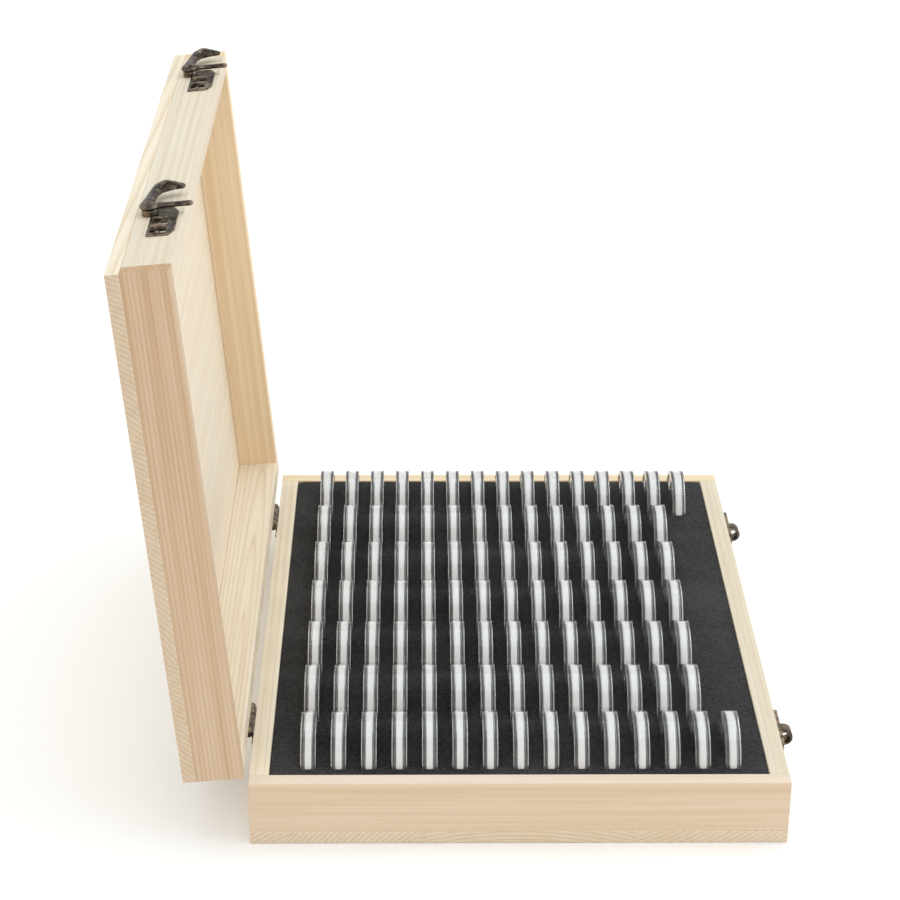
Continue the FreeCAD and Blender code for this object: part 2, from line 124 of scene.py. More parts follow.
class Graph:
    """A material in the making, with short ways to add and join its nodes."""

    def __init__(self, name: str) -> None:
        """Starts a material with its shader and object coordinates.

        Args:
            name: The material's name.
        """
        self.material = bpy.data.materials.new(name)
        self.material.use_nodes = True
        self.tree = self.material.node_tree
        self.shader = self.tree.nodes["Principled BSDF"]
        self.coordinates = self.add("ShaderNodeTexCoord")

    def add(self, kind: str, settings: Optional[dict] = None, **sockets: object) -> bpy.types.Node:
        """Adds a node.

        Args:
            kind: Blender's name for the node's type.
            settings: Values for the node's own properties.
            sockets: Values or other nodes' outputs for its inputs; an underscore stands for a space.

        Returns:
            The new node.
        """
        node = self.tree.nodes.new(kind)
        for name, value in (settings or {}).items():
            setattr(node, name, value)
        for name, value in sockets.items():
            self.put(node.inputs[name.replace("_", " ")], value)
        return node

    def put(self, socket: Socket, value: object) -> None:
        """Sets an input to a value, or links it to another node's output.

        Args:
            socket: The input.
            value: A value, or the output to link.
        """
        if isinstance(value, Socket):
            self.tree.links.new(value, socket)
        else:
            socket.default_value = value

    def place(self, vector: object, scale: Iterable[float] = (1, 1, 1), location: Iterable[float] = (0, 0, 0),
              rotation: Iterable[float] = (0, 0, 0)) -> Socket:
        """Scales, turns and shifts coordinates, in that order.

        Args:
            vector: The coordinates.
            scale: A factor for each axis.
            location: How far they shift along each axis.
            rotation: How far they turn about each axis, in radians.

        Returns:
            The changed coordinates.
        """
        node = self.add("ShaderNodeMapping", Vector=vector, Scale=tuple(scale), Location=tuple(location),
                        Rotation=tuple(rotation))
        return node.outputs["Vector"]

    def math(self, operation: str, first: object, second: object = 0.0, third: object = 0.0) -> Socket:
        """Does one sum on numbers.

        Args:
            operation: Blender's name for the sum.
            first: The first number.
            second: The second number, where the sum has one.
            third: The third number, where the sum has one.

        Returns:
            The result.
        """
        node = self.add("ShaderNodeMath", {"operation": operation})
        for socket, value in zip(node.inputs, (first, second, third)):
            self.put(socket, value)
        return node.outputs["Value"]

    def noise(self, vector: object, scale: float, detail: float = 2.0, roughness: float = 0.5) -> Socket:
        """Gives soft random values about 0.5."""
        return self.add("ShaderNodeTexNoise", Vector=vector, Scale=scale, Detail=detail,
                        Roughness=roughness).outputs["Fac"]

    def spread(self, value: object, low: float, high: float, to_low: float = 0.0,
               to_high: float = 1.0) -> Socket:
        """Maps one range of numbers onto another, and stops at its ends.

        Args:
            value: The number to map.
            low: The value that becomes to_low.
            high: The value that becomes to_high.
            to_low: The low end of the result.
            to_high: The high end of the result.

        Returns:
            The mapped number.
        """
        node = self.add("ShaderNodeMapRange", Value=value)
        for name, number in (("From Min", low), ("From Max", high), ("To Min", to_low), ("To Max", to_high)):
            node.inputs[name].default_value = number
        return node.outputs["Result"]

    def ramp(self, value: object, stops: Iterable[tuple[float, Colour]]) -> Socket:
        """Turns a number into a colour through a set of stops.

        Args:
            value: The number, from 0 to 1.
            stops: Each colour and the number it belongs to.

        Returns:
            The colour.
        """
        node = self.add("ShaderNodeValToRGB", Fac=value)
        elements = node.color_ramp.elements
        for number, (position, colour) in enumerate(stops):
            element = elements[number] if number < len(elements) else elements.new(position)
            element.position = position
            element.color = (*colour, 1.0)
        return node.outputs["Color"]

    def blend(self, share: object, first: object, second: object, mode: str = "MULTIPLY") -> Socket:
        """Mixes two colours.

        Args:
            share: How much of the mix shows, from 0 to 1.
            first: The colour underneath.
            second: The colour on top.
            mode: Blender's name for the way they mix.

        Returns:
            The mixed colour.
        """
        node = self.add("ShaderNodeMix", {"data_type": "RGBA", "blend_type": mode})
        pairs = ((node.inputs[0], share), (node.inputs[6], first), (node.inputs[7], second))
        for socket, value in pairs:
            self.put(socket, (*value, 1.0) if isinstance(value, tuple) and len(value) == 3 else value)
        return node.outputs[2]

    def bump(self, height: object, distance: float, strength: float = 1.0) -> None:
        """Gives the shader a fine relief."""
        node = self.add("ShaderNodeBump", Height=height, Distance=distance, Strength=strength)
        self.put(self.shader.inputs["Normal"], node.outputs["Normal"])

    def dress(self, **sockets: object) -> None:
        """Sets or links the shader's own inputs."""
        for name, value in sockets.items():
            self.put(self.shader.inputs[name.replace("_", " ")], value)


@dataclass(frozen=True)
class Marking:
    """A kind of fine marking in wood: soft noise drawn out along the grain, which darkens it."""

    along: float
    across: float
    detail: float
    roughness: float
    low: float
    high: float
    share: float
    tint: Colour


FIBRE = Marking(7.0, 850.0, 3.0, 0.6, 0.42, 0.72, 0.5, (0.88, 0.82, 0.74))
STREAKS = Marking(2.5, 190.0, 3.0, 0.65, 0.42, 0.72, 1.0, (0.82, 0.71, 0.58))
FLECKS = Marking(70.0, 1400.0, 1.0, 0.5, 0.67, 0.78, 0.4, (0.76, 0.63, 0.50))
TONE = Marking(3.0, 16.0, 2.0, 0.5, 0.35, 0.7, 0.6, (0.95, 0.91, 0.86))


@dataclass(frozen=True)
class Pine:
    """Bare sanded pine, with yearly rings round a pith, fine fibres and darker end grain, and where asked a
    painted light that tints its faces that look up or down.
    """

    name: str
    grain: Axis
    pith: tuple[float, float, float]
    pale: Colour = (0.75, 0.66, 0.52)
    late: Colour = (0.60, 0.42, 0.25)
    ring: float = 2.6 * MM
    ring_stretch: float = 0.10
    waver: float = 6.0
    strength: float = 0.4
    tilt: tuple[float, float, float] = (0.0, 0.0, 0.0)
    streak: float = 0.35
    ends: Colour = (0.95, 0.90, 0.82)
    painted_top_light: Colour = (1.0, 1.0, 1.0)
    relief: float = 0.10 * MM
    on_lid: bool = False
    strips: tuple[tuple[float, float, float], ...] = ()
    strip_axis: Axis = Axis.X
    strip_reach: float = 0.25

    def build(self) -> bpy.types.Material:
        """Makes the material.

        Returns:
            The material, with its pattern in the shut case's coordinates.
        """
        graph = Graph(self.name)
        spot = graph.coordinates.outputs["Object"]
        if self.on_lid:
            shift, turn, _ = SHUT_LID.decompose()
            spot = graph.place(spot, location=shift, rotation=turn.to_euler())
        rings = self.rings(graph, self.glued_strips(graph, spot) if self.strips else spot)
        fibre = self.drawn_out(graph, spot, FIBRE)
        mild, deep = self.toward_late(0.5), self.toward_late(1.0)
        colour = graph.ramp(rings, [(0.0, mild), (0.14, self.pale), (0.5, self.pale), (0.84, mild),
                                    (0.95, deep), (1.0, mild)])
        for marking in (STREAKS, FIBRE, FLECKS, TONE):
            noise = fibre if marking is FIBRE else self.drawn_out(graph, spot, marking)
            share = marking.share * (self.streak if marking is STREAKS else 1.0)
            colour = graph.blend(graph.spread(noise, marking.low, marking.high, 0.0, share), colour,
                                 marking.tint)
        colour = graph.blend(self.facing(graph, self.run()), colour, self.ends)
        # Painted light: faces that look up or down take this tint, which lightens the front board's top for
        # how the light falls on it.
        if self.painted_top_light != (1.0, 1.0, 1.0):
            colour = graph.blend(self.facing(graph, Axis.Z.vector), colour, self.painted_top_light)
        height = graph.math("MULTIPLY_ADD", fibre, 0.6, graph.math("MULTIPLY", rings, 0.25))
        graph.bump(height, self.relief, 0.5)
        graph.dress(Base_Color=colour, Roughness=graph.spread(fibre, 0.3, 0.8, 0.54, 0.72), IOR=1.45)
        graph.shader.inputs["Specular IOR Level"].default_value = 0.3
        return graph.material

    def toward_late(self, way: float) -> Colour:
        """Mixes the pale wood with the late wood, as strongly as the board shows its rings."""
        return tuple(a + (b - a) * way * self.strength for a, b in zip(self.pale, self.late))

    def drawn_out(self, graph: Graph, spot: Socket, marking: Marking) -> Socket:
        """Draws one kind of marking along the grain."""
        stretched = graph.place(spot, self.grain.scales(marking.along, marking.across))
        return graph.noise(stretched, 1.0, marking.detail, marking.roughness)

    def rings(self, graph: Graph, spot: Socket) -> Socket:
        """Draws the yearly rings.

        Args:
            graph: The material in the making.
            spot: The coordinates.

        Returns:
            A number that climbs through each ring.
        """
        back = [-place for place in self.pith]
        turned = graph.place(graph.place(spot, location=back), rotation=[math.radians(a) for a in self.tilt])
        wave = graph.add(
            "ShaderNodeTexWave",
            {"wave_type": "RINGS", "rings_direction": self.grain.name, "wave_profile": "SAW"},
            Vector=graph.place(turned, self.grain.scales(self.ring_stretch, 1.0)),
            Scale=math.pi / 10 / self.ring,
            Distortion=self.waver,
            Detail=2.5,
            Detail_Scale=0.05,
            Detail_Roughness=0.5,
        )
        return wave.outputs["Fac"]

    def glued_strips(self, graph: Graph, spot: Socket) -> Socket:
        """Gives each glued strip of a panel its own pith.

        Args:
            graph: The material in the making.
            spot: The coordinates.

        Returns:
            The coordinates, shifted strip by strip.
        """
        reach = self.strip_reach
        apart = graph.add("ShaderNodeSeparateXYZ", Vector=spot)
        place = graph.spread(apart.outputs[self.strip_axis.name], -reach, reach)
        stops = []
        for start, across, up in self.strips:
            shift = [0.0, 0.0, up]
            shift[self.strip_axis.value] = across
            stops.append(((start + reach) / (2 * reach), tuple(part / (2 * reach) + 0.5 for part in shift)))
        packed = graph.ramp(place, stops)
        packed.node.color_ramp.interpolation = "CONSTANT"
        moved = graph.add("ShaderNodeVectorMath", {"operation": "MULTIPLY_ADD"})
        graph.put(moved.inputs[0], packed)
        moved.inputs[1].default_value = (2 * reach,) * 3
        graph.put(moved.inputs[2], graph.place(spot, location=(-reach,) * 3))
        return moved.outputs["Vector"]

    def run(self) -> Vector:
        """Gives the direction of the fibres as the board stands."""
        return OPEN_LID.to_3x3() @ self.grain.vector if self.on_lid else self.grain.vector

    def facing(self, graph: Graph, way: Vector) -> Socket:
        """Finds the faces that look along a direction, either way.

        Args:
            graph: The material in the making.
            way: The direction.

        Returns:
            1 on those faces and 0 elsewhere.
        """
        dot = graph.add("ShaderNodeVectorMath", {"operation": "DOT_PRODUCT"})
        graph.put(dot.inputs[0], graph.coordinates.outputs["Normal"])
        dot.inputs[1].default_value = way
        return graph.spread(graph.math("ABSOLUTE", dot.outputs["Value"]), 0.8, 0.98)


@dataclass(frozen=True)
class ClosedFoam:
    """Black closed-cell foam with a fine grain."""

    name: str = "black_foam"
    dark: Colour = (0.004, 0.004, 0.0045)
    light: Colour = (0.040, 0.040, 0.041)

    def build(self) -> bpy.types.Material:
        """Makes the material.

        Returns:
            The finish, ready to put on a piece.
        """
        graph = Graph(self.name)
        spot = graph.coordinates.outputs["Object"]
        cells = graph.add("ShaderNodeTexVoronoi", Vector=spot, Scale=900.0).outputs["Distance"]
        grain = graph.noise(spot, 620.0, 3.0, 0.7)
        broad = graph.noise(spot, 18.0, 2.0)
        mixed = graph.math("MULTIPLY_ADD", grain, 0.7, graph.math("MULTIPLY", broad, 0.3))
        graph.bump(graph.math("MULTIPLY_ADD", cells, 0.5, grain), 0.5 * MM, 1.0)
        graph.dress(Base_Color=graph.ramp(mixed, [(0.42, self.dark), (0.62, self.light)]),
                    Roughness=graph.spread(grain, 0.3, 0.7, 0.82, 0.95), Sheen_Weight=0.08)
        graph.shader.inputs["Specular IOR Level"].default_value = 0.25
        return graph.material


@dataclass(frozen=True)
class ClearPlastic:
    """Polished clear plastic with a faint milky haze, bright at its edges."""

    name: str = "clear_plastic"
    tint: Colour = (1.0, 1.0, 1.0)
    clarity: float = 0.955

    def build(self) -> bpy.types.Material:
        """Makes the material.

        Returns:
            The finish, ready to put on a piece.
        """
        graph = Graph(self.name)
        spot = graph.coordinates.outputs["Object"]
        smear = graph.noise(spot, 70.0, 3.0, 0.6)
        graph.bump(graph.noise(spot, 240.0, 1.0), 0.02 * MM, 0.4)
        graph.dress(Base_Color=(*self.tint, 1.0), Roughness=graph.spread(smear, 0.35, 0.75, 0.02, 0.08),
                    IOR=1.49, Transmission_Weight=self.clarity)
        return graph.material


@dataclass(frozen=True)
class WhiteGasket:
    """Soft white foam, for the rings inside the capsules, with a painted glow that stands in for the light
    the clear shells keep from them.
    """

    name: str = "white_gasket"
    white: Colour = (0.97, 0.97, 0.965)
    grey: Colour = (0.88, 0.88, 0.88)
    painted_glow: float = 0.12

    def build(self) -> bpy.types.Material:
        """Makes the material.

        Returns:
            The finish, ready to put on a piece.
        """
        graph = Graph(self.name)
        spot = graph.coordinates.outputs["Object"]
        cells = graph.noise(spot, 1400.0, 2.0, 0.6)
        graph.bump(cells, 0.2 * MM, 0.5)
        # The emission is painted light: a glow that lightens the rings as if lit through the shells.
        graph.dress(Base_Color=graph.ramp(cells, [(0.3, self.grey), (0.6, self.white)]), Roughness=0.85,
                    Emission_Color=(1.0, 1.0, 0.99, 1.0), Emission_Strength=self.painted_glow)
        return graph.material


@dataclass(frozen=True)
class AntiqueBronze:
    """Dark bronze plating, mottled from near-black to brown at random and rubbed bright along its edges."""

    name: str = "antique_bronze"
    dark: Colour = (0.022, 0.017, 0.014)
    body: Colour = (0.085, 0.070, 0.056)
    rubbed: Colour = (0.34, 0.25, 0.165)

    def build(self) -> bpy.types.Material:
        """Makes the material.

        Returns:
            The finish, ready to put on a piece.
        """
        graph = Graph(self.name)
        spot = graph.coordinates.outputs["Object"]
        cloud = graph.noise(spot, 260.0, 4.0, 0.65)
        speck = graph.noise(spot, 1500.0, 2.0, 0.6)
        edge = graph.add("ShaderNodeNewGeometry").outputs["Pointiness"]
        colour = graph.ramp(cloud, [(0.36, self.dark), (0.54, self.body), (0.80, self.rubbed)])
        worn = graph.math("MULTIPLY", graph.spread(edge, 0.51, 0.58), graph.spread(cloud, 0.35, 0.6))
        colour = graph.blend(worn, colour, self.rubbed, "MIX")
        graph.bump(graph.math("MULTIPLY_ADD", cloud, 0.6, graph.math("MULTIPLY", speck, 0.4)), 0.10 * MM, 0.6)
        graph.dress(Base_Color=colour, Metallic=0.9, Roughness=graph.spread(speck, 0.3, 0.7, 0.26, 0.46))
        return graph.material


# ---------------------------------------------------------------- mesh helpers


@dataclass
class Piece:
    """A shape on its way to being a named piece of the object."""

    name: str
    shape: bmesh.types.BMesh = field(default_factory=bmesh.new)

    def wire(self, points: Iterable[tuple[float, float, float]]) -> list:
        """Draws a line through a few points.

        Args:
            points: The line's corners.

        Returns:
            The new vertices and edges.
        """
        verts = [self.shape.verts.new(point) for point in points]
        return verts + [self.shape.edges.new(pair) for pair in zip(verts, verts[1:])]

    def lathe(self, points: Outline, steps: int) -> None:
        """Turns a profile about the X axis.

        Args:
            points: Corners as (place along X, radius).
            steps: How many flats go round.
        """
        profile = self.wire([(along, radius, 0.0) for along, radius in points])
        bmesh.ops.spin(self.shape, geom=profile, cent=(0, 0, 0), axis=(1, 0, 0), angle=2 * math.pi,
                       steps=steps, use_merge=True)
        bmesh.ops.remove_doubles(self.shape, verts=self.shape.verts[:], dist=JOIN)

    def soften(self, width: float, segments: int = 2, above: float = 35.0) -> None:
        """Rounds the sharp edges.

        Args:
            width: How far the rounding reaches from each edge.
            segments: How many faces it has across.
            above: The least turn of a sharp edge, in degrees.
        """
        least = math.radians(above)
        sharp = [e for e in self.shape.edges if e.is_manifold and e.calc_face_angle() > least]
        bmesh.ops.bevel(self.shape, geom=sharp, offset=width, segments=segments, profile=0.5,
                        affect="EDGES", clamp_overlap=True, material=-1)

    def move(self, matrix: Matrix) -> None:
        """Moves the whole shape."""
        bmesh.ops.transform(self.shape, matrix=matrix, verts=self.shape.verts[:])

    def finish(self, material: bpy.types.Material, body: str, slot: str, replaced: Iterable[str] = (),
               smooth: float = 38.0) -> bpy.types.Object:
        """Makes the object and ties it to the frame.

        Args:
            material: The piece's finish.
            body: The body that it rides on.
            slot: The record's material slot; not used.
            replaced: The nodes that it stands for.
            smooth: Edges that turn more than this many degrees stay crisp.

        Returns:
            The new object.
        """
        bmesh.ops.remove_doubles(self.shape, verts=self.shape.verts[:], dist=JOIN)
        bmesh.ops.recalc_face_normals(self.shape, faces=self.shape.faces[:])
        for face in self.shape.faces:
            face.smooth = True
        for edge in self.shape.edges:
            edge.smooth = edge.is_manifold and edge.calc_face_angle() < math.radians(smooth)
        mesh = bpy.data.meshes.new(self.name)
        self.shape.to_mesh(mesh)
        self.shape.free()
        made = bpy.data.objects.new(self.name, mesh)
        bpy.context.scene.collection.objects.link(made)
        made.data.materials.append(material)
        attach(made, body)
        if replaced:
            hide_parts(*replaced)
        log.info("%s: %d faces on %s", self.name, len(mesh.polygons), body)
        return made


def copy_of(node: str, name: str) -> Piece:
    """Starts a piece from a CAD node's shape, with its loose triangles joined.

    Args:
        node: The node to copy.
        name: The new piece's name.

    Returns:
        The piece, with flat faces made whole.
    """
    piece = Piece(name)
    piece.shape.from_mesh(frame["nodes"][node].data)
    bmesh.ops.remove_doubles(piece.shape, verts=piece.shape.verts[:], dist=WELD)
    bmesh.ops.dissolve_limit(piece.shape, angle_limit=FLAT, verts=piece.shape.verts[:],
                             edges=piece.shape.edges[:])
    return piece


def dress_node(node: str, material: bpy.types.Material) -> None:
    """Gives a carried-over CAD node its finish.

    Args:
        node: The node's name.
        material: The finish.
    """
    mesh = frame["nodes"][node].data
    mesh.materials.clear()
    mesh.materials.append(material)
    log.info("%s: dressed in %s", node, material.name)


# ---------------------------------------------------------------- the case


@dataclass
class WoodenCase:
    """The boards and panels of the tray and lid, each with its own run of grain."""

    rim: Colour = (0.745, 0.685, 0.57)
    # Painted light: the hinge side rim is lighter than the latch side rim, to offset the lid's shadow across
    # it.
    hinge_rim_painted_light: Colour = (0.86, 0.795, 0.66)
    front: Colour = (0.69, 0.56, 0.43)
    # Painted light: lightens the front board's top faces against its front face, for how the light falls.
    front_top_painted_light: Colour = (1.16, 1.26, 1.40)
    lid_front: Colour = (0.605, 0.465, 0.33)
    lid_front_late: Colour = (0.44, 0.26, 0.13)
    lid_hinge: Colour = (0.85, 0.78, 0.655)
    # Painted light, in part: inside and panel hold the boards' own warmer and paler tones, lightened further
    # to offset the shade inside the open lid and the tray.
    inside: Colour = (0.85, 0.70, 0.49)
    panel: Colour = (0.85, 0.765, 0.63)
    late: Colour = (0.60, 0.42, 0.25)

    def finishes(self) -> dict[str, Pine]:
        """Lists the finish of each board.

        Returns:
            A pine finish for each node of wood.
        """
        hatch = ((-0.25, 0.0, 0.24), (-0.130, -0.050, 0.130), (-0.057, 0.0, 0.24), (0.065, 0.03, -0.24))
        glued = ((-0.25, 0.23, -0.11), (-0.075, 0.13, -0.12), (0.06, 0.015, -0.10))
        return {
            "tray_front_board": Pine("pine_tray_front", Axis.X, (0, -0.30, 0.020), self.front, self.late,
                                     ring=1.9 * MM, waver=11.0, strength=0.28, streak=0.55,
                                     painted_top_light=self.front_top_painted_light),
            "tray_back_board": Pine("pine_tray_back", Axis.X, (0, 0.262, -0.050), self.inside, self.late,
                                    strength=0.25),
            "tray_hinge_side_board": Pine("pine_tray_hinge_side", Axis.Y, (-0.20, 0, 0.15), self.hinge_rim_painted_light,
                                          self.late, ring=2.2 * MM, strength=0.3),
            "tray_latch_side_board": Pine("pine_tray_latch_side", Axis.Y, (0.24, 0, -0.08), self.rim,
                                          self.late, ring=2.4 * MM, strength=0.3),
            "tray_bottom_panel": Pine("pine_tray_bottom", Axis.Y, (0, 0, 0), self.panel, self.late,
                                      strips=hatch, strength=0.55, streak=0.25, ends=(0.82, 0.78, 0.74)),
            "lid_front_board": Pine("pine_lid_front", Axis.X, (0, -0.170, 0.135), self.lid_front,
                                    self.lid_front_late, ring=2.3 * MM, strength=0.5, waver=11.0, streak=0.85,
                                    on_lid=True),
            "lid_back_board": Pine("pine_lid_back", Axis.X, (0, 0.25, 0.10), self.inside, self.late,
                                   ring=3.4 * MM, strength=0.18, streak=0.45, on_lid=True),
            "lid_hinge_side_board": Pine("pine_lid_hinge_side", Axis.Y, (-0.131, 0.19, 0.048),
                                         self.lid_hinge, self.late, ring=2.6 * MM, strength=0.4,
                                         tilt=(0.0, 0.0, 1.6), on_lid=True),
            "lid_latch_side_board": Pine("pine_lid_latch_side", Axis.Y, (0.26, 0, 0.10), self.rim, self.late,
                                         ring=2.1 * MM, strength=0.3, streak=0.4, on_lid=True),
            "lid_panel": Pine("pine_lid_panel", Axis.Y, (0, 0, 0.04), self.panel, self.late, ring=2.6 * MM,
                              strips=glued, strength=0.5, tilt=(3.0, 0.0, 0.0), ends=(0.74, 0.68, 0.62),
                              on_lid=True),
        }

    def build(self) -> None:
        """Dresses every board."""
        for node, finish in self.finishes().items():
            dress_node(node, finish.build())


@dataclass
class FoamInsert:
    """The foam block, cut with a slot for each capsule."""

    slot_width: float = 9.3 * MM
    slot_length: float = 49.8 * MM
    slot_depth: float = 29.7 * MM
    corner: float = 4.5 * MM
    mouth: float = 0.45 * MM
    corner_steps: int = 6

    def build(self, slots: list[tuple[float, float]], material: bpy.types.Material) -> None:
        """Makes the block.

        Args:
            slots: The middle of each slot, as (x, y).
            material: The foam's finish.
        """
        low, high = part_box("foam_insert")
        piece = Piece("foam_block")
        shape = piece.shape
        size, middle = high - low, (high + low) / 2
        bmesh.ops.create_grid(shape, x_segments=1, y_segments=1, size=0.5)
        place = Matrix.Translation((middle.x, middle.y, high.z))
        piece.move(place @ Matrix.Diagonal((size.x, size.y, 1, 1)))
        corners = [v for v in shape.verts if v.co.y > middle.y]
        bmesh.ops.bevel(shape, geom=corners, offset=self.corner, segments=self.corner_steps, profile=0.5,
                        affect="VERTICES", clamp_overlap=True, material=-1)
        for axis, half in ((Axis.X, self.slot_width / 2), (Axis.Y, self.slot_length / 2)):
            for place in sorted({round(slot[axis.value], 6) for slot in slots}):
                for edge in (place - half, place + half):
                    self.score(shape, axis, edge)
        self.sink(piece, slots)
        rim = [e for e in shape.edges if e.is_boundary]
        walls = bmesh.ops.extrude_edge_only(shape, edges=rim)["geom"]
        lowered = [v for v in walls if isinstance(v, bmesh.types.BMVert)]
        bmesh.ops.translate(shape, verts=lowered, vec=(0, 0, low.z - high.z))
        bmesh.ops.contextual_create(shape, geom=[e for e in shape.edges if e.is_boundary])
        piece.finish(material, "tray", "foam", ["foam_insert"])

    def score(self, shape: bmesh.types.BMesh, axis: Axis, place: float) -> None:
        """Cuts the faces along a straight line.

        Args:
            shape: The block in the making.
            axis: The direction that the line crosses.
            place: Where it crosses.
        """
        geometry = shape.verts[:] + shape.edges[:] + shape.faces[:]
        bmesh.ops.bisect_plane(shape, geom=geometry, dist=JOIN / 10, plane_co=axis.vector * place,
                               plane_no=axis.vector)

    def sink(self, piece: Piece, slots: list[tuple[float, float]]) -> None:
        """Pushes the slots' faces down into the block and rounds their mouths.

        Args:
            piece: The block in the making.
            slots: The middle of each slot, as (x, y).
        """
        shape = piece.shape
        half_width, half_length = self.slot_width / 2, self.slot_length / 2
        floors = []
        for face in shape.faces:
            middle = face.calc_center_median()
            if any(abs(middle.x - x) < half_width and abs(middle.y - y) < half_length for x, y in slots):
                floors.append(face)
        made = bmesh.ops.extrude_face_region(shape, geom=floors)["geom"]
        moved = [v for v in made if isinstance(v, bmesh.types.BMVert)]
        bmesh.ops.translate(shape, verts=moved, vec=(0, 0, -self.slot_depth))
        mouths = [e for e in shape.edges if e.is_manifold and e.calc_face_angle() > 1.0
                  and all(v.co.z > moved[0].co.z + self.slot_depth / 2 for v in e.verts)]
        bmesh.ops.bevel(shape, geom=mouths, offset=self.mouth, segments=2, profile=0.5, affect="EDGES",
                        clamp_overlap=True, material=-1)


@dataclass
class CapsuleRow:
    """One row of round clear capsules, each two nested halves round a white ring."""

    number: int
    count: int
    steps: int = 40
    window_radius: float = 21.0 * MM
    window_recess: float = 0.5 * MM
    face_thick: float = 1.8 * MM
    wall: float = 0.7 * MM
    fit: float = 0.06 * MM
    ring_width: float = 4.7 * MM
    ring_fit: float = 0.1 * MM
    edge: float = 0.22 * MM
    gasket_half: float = 1.75 * MM
    gasket_bore: float = 17.5 * MM
    gasket_fit: float = 0.25 * MM

    def __post_init__(self) -> None:
        """Reads the row's place from the frame."""
        low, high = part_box(f"capsule_bases_row_{self.number}")
        self.radius = (high.z - low.z) / 2
        self.height = (high.z + low.z) / 2
        self.middle_y = (high.y + low.y) / 2
        self.low = low.x

    def columns(self) -> list[float]:
        """Works out where each capsule stands along X.

        Returns:
            The middle of each capsule, from the hinges to the latches.
        """
        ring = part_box(f"gasket_rings_row_{self.number}")
        half = self.ring_width / 2 - self.ring_fit
        first, last = ring[0].x + half, ring[1].x - half
        return [first + (last - first) * n / (self.count - 1) for n in range(self.count)]

    def slots(self) -> list[tuple[float, float]]:
        """Gives the middle of each capsule's slot, as (x, y)."""
        return [(x, self.middle_y) for x in self.columns()]

    def half_width(self) -> float:
        """Gives half of one capsule's width."""
        return self.columns()[0] - self.low

    def base_profile(self) -> Outline:
        """Draws the outer half: its face, window recess and outer wall.

        Returns:
            The corners, as (place along X, radius).
        """
        face, rim, inner = -self.half_width(), self.radius, self.radius - self.wall
        seam = self.ring_width / 2
        return [(face + self.window_recess, 0.0), (face + self.window_recess, self.window_radius),
                (face, self.window_radius + self.window_recess / 2), (face, rim), (seam, rim), (seam, inner),
                (face + self.face_thick, inner), (face + self.face_thick, 0.0)]

    def cover_profile(self) -> Outline:
        """Draws the inner half: its face, window recess and rim, pressed against the base's wall.

        Returns:
            The corners, as (place along X, radius).
        """
        face, rim, seam = self.half_width(), self.radius, self.ring_width / 2 + self.fit
        inner = self.radius - self.wall - self.fit
        return [(face - self.window_recess, 0.0), (face - self.window_recess, self.window_radius),
                (face, self.window_radius + self.window_recess / 2), (face, rim), (seam, rim),
                (seam, inner), (face - self.face_thick, inner), (face - self.face_thick, 0.0)]

    def gasket_profile(self) -> Outline:
        """Draws the white ring, between its bore and the base's wall.

        Returns:
            The corners, as (place along X, radius).
        """
        half, outer = self.gasket_half, self.radius - self.wall - self.gasket_fit
        return [(-half, self.gasket_bore), (-half, outer), (half, outer), (half, self.gasket_bore),
                (-half, self.gasket_bore)]

    def turned(self, name: str, *profiles: Outline) -> Piece:
        """Turns profiles about the first capsule's axis and repeats them along the row.

        Args:
            name: The piece's name.
            profiles: The outlines to turn.

        Returns:
            A piece with one copy for each capsule.
        """
        piece = Piece(name)
        for profile in profiles:
            piece.lathe(profile, self.steps)
        piece.soften(self.edge, segments=1, above=60.0)
        first, *others = self.columns()
        piece.move(Matrix.Translation((first, self.middle_y, self.height)))
        whole = piece.shape.verts[:] + piece.shape.edges[:] + piece.shape.faces[:]
        for x in others:
            made = bmesh.ops.duplicate(piece.shape, geom=whole)["geom"]
            verts = [v for v in made if isinstance(v, bmesh.types.BMVert)]
            bmesh.ops.translate(piece.shape, verts=verts, vec=(x - first, 0, 0))
        return piece

    def build(self, clear: bpy.types.Material, gasket: bpy.types.Material) -> None:
        """Makes the row's shells and rings.

        Args:
            clear: The shells' finish.
            gasket: The rings' finish.
        """
        row, body = self.number, f"capsule_row_{self.number}"
        shells = self.turned(f"capsule_shells_row_{row}", self.base_profile(), self.cover_profile())
        shells.finish(clear, body, "clear_shell", [f"capsule_bases_row_{row}", f"capsule_covers_row_{row}"])
        rings = self.turned(f"gaskets_row_{row}", self.gasket_profile())
        rings.finish(gasket, body, "gasket", [f"gasket_rings_row_{row}"])


@dataclass
class Hardware:
    """The hinges, keepers, nails and screws."""

    edge: float = 0.22 * MM

    def softened(self, node: str, body: str, material: bpy.types.Material) -> None:
        """Makes a rounded-edged piece from a CAD node.

        Args:
            node: The node's name.
            body: The body that it rides on.
            material: The metal's finish.
        """
        piece = copy_of(node, f"{node}_cast")
        piece.soften(self.edge, segments=2, above=30.0)
        piece.finish(material, body, "bronze", [node])

    def build(self, bronze: bpy.types.Material) -> None:
        """Makes all the pieces.

        Args:
            bronze: The metal's finish.
        """
        for side in ("front", "back"):
            self.softened(f"{side}_keeper", "tray", bronze)
            self.softened(f"{side}_hinge_tray_leaf", "tray", bronze)
            self.softened(f"{side}_hinge_lid_leaf", "lid", bronze)
            dress_node(f"{side}_hinge_pin", bronze)
        for node in ("tray_hinge_screws", "lid_hinge_screws", "keeper_nails", "latch_plate_nails"):
            dress_node(node, bronze)


